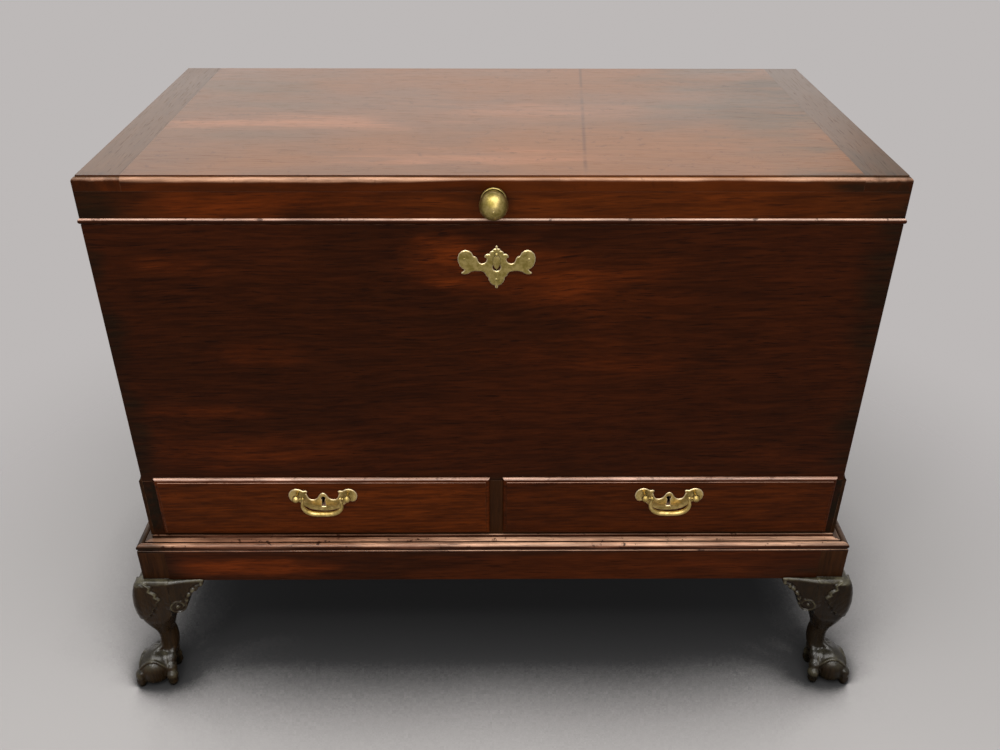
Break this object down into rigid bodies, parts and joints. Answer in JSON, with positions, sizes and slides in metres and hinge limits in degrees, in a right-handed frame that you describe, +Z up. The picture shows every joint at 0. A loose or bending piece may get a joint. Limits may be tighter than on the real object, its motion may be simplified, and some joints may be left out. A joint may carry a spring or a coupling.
{
  "type": "silver chest on stand",
  "caption": "Lift-top wooden silver chest over a pair of drawers, on a stand with carved cabriole legs and claw-and-ball feet, with brass handles, knob and escutcheon.",
  "frame": {"origin": "on the floor under the middle of the part's box", "axes": "+X along the front to the viewer's right, +Y from the front to the back, +Z up"},
  "size_m": [1.194, 0.647, 0.87],
  "materials": {
    "mahogany": "satin, red-brown mahogany with an old polish",
    "mahogany_top": "satin, paler and more worn mahogany",
    "dark_legs": "satin, nearly black stained and waxed carving",
    "drawer_wood": "matt, unpolished secondary wood",
    "brass": "satin, aged brass",
    "steel": "dull, dark iron of locks and pins"
  },
  "bodies": {
    "stand_and_case": {"stand_front_rail": "mahogany", "stand_back_rail": "mahogany", "stand_side_rails": "mahogany", "leg_front_left": "dark_legs", "leg_front_right": "dark_legs", "leg_rear_left": "dark_legs", "leg_rear_right": "dark_legs", "brackets_front_left": "dark_legs", "brackets_front_right": "dark_legs", "bracket_rear_left": "dark_legs", "bracket_rear_right": "dark_legs", "moulding_front": "mahogany", "moulding_left": "mahogany", "moulding_right": "mahogany", "case_front": "mahogany", "case_back": "drawer_wood", "case_side_left": "mahogany", "case_side_right": "mahogany", "side_step_left": "mahogany", "side_step_right": "mahogany", "well_floor": "drawer_wood", "case_bottom": "mahogany", "drawer_muntin": "mahogany", "drawer_divider": "drawer_wood", "hinge_leaves_case": "brass", "hinge_pins": "steel", "escutcheon": "brass", "lid_lock": "steel"},
    "lid": {"lid_panel": "mahogany_top", "lid_cleat_left": "mahogany_top", "lid_cleat_right": "mahogany_top", "lid_front_rail": "mahogany", "lid_back_rail": "mahogany", "lid_side_rail_left": "mahogany", "lid_side_rail_right": "mahogany", "lid_bead": "mahogany", "lid_knob": "brass", "knob_rose": "brass", "hinge_leaves_lid": "brass", "lock_link_plate": "steel"},
    "lid_bolt": {"lid_lock_bolt": "steel"},
    "cover": {"keyhole_cover": "brass"},
    "left_drawer": {"left_drawer_front": "mahogany", "left_drawer_sides": "drawer_wood", "left_drawer_back": "drawer_wood", "left_drawer_bottom": "drawer_wood", "left_drawer_lock": "steel", "left_handle_plate": "brass", "left_handle_posts": "brass"},
    "left_bolt": {"left_lock_bolt": "steel"},
    "left_bail": {"left_bail": "brass"},
    "right_drawer": {"right_drawer_front": "mahogany", "right_drawer_sides": "drawer_wood", "right_drawer_back": "drawer_wood", "right_drawer_bottom": "drawer_wood", "right_drawer_lock": "steel", "right_handle_plate": "brass", "right_handle_posts": "brass"},
    "right_bolt": {"right_lock_bolt": "steel"},
    "right_bail": {"right_bail": "brass"}
  },
  "joints": [
    {"name": "lid_hinge", "type": "hinge", "parent": "stand_and_case", "child": "lid", "pos_m": [0, 0.2874, 0.8053], "axis": [-1, 0, 0], "range_deg": [0, 95]},
    {"name": "left_drawer_slide", "type": "slide", "parent": "stand_and_case", "child": "left_drawer", "axis": [0, -1, 0], "range_m": [0, 0.38]},
    {"name": "right_drawer_slide", "type": "slide", "parent": "stand_and_case", "child": "right_drawer", "axis": [0, -1, 0], "range_m": [0, 0.38]},
    {"name": "left_bail_swing", "type": "hinge", "parent": "left_drawer", "child": "left_bail", "pos_m": [-0.26125, -0.2818, 0.368], "axis": [-1, 0, 0], "range_deg": [0, 100]},
    {"name": "right_bail_swing", "type": "hinge", "parent": "right_drawer", "child": "right_bail", "pos_m": [0.26925, -0.2818, 0.368], "axis": [-1, 0, 0], "range_deg": [0, 100]},
    {"name": "keyhole_cover_swing", "type": "hinge", "parent": "stand_and_case", "child": "cover", "pos_m": [0.004, -0.264, 0.763], "axis": [0, 1, 0], "range_deg": [-100, 100]},
    {"name": "lid_bolt_throw", "type": "slide", "parent": "stand_and_case", "child": "lid_bolt", "axis": [1, 0, 0], "range_m": [0, 0.008]},
    {"name": "left_bolt_throw", "type": "slide", "parent": "left_drawer", "child": "left_bolt", "axis": [0, 0, 1], "range_m": [0, 0.008]},
    {"name": "right_bolt_throw", "type": "slide", "parent": "right_drawer", "child": "right_bolt", "axis": [0, 0, 1], "range_m": [0, 0.008]}
  ]
}
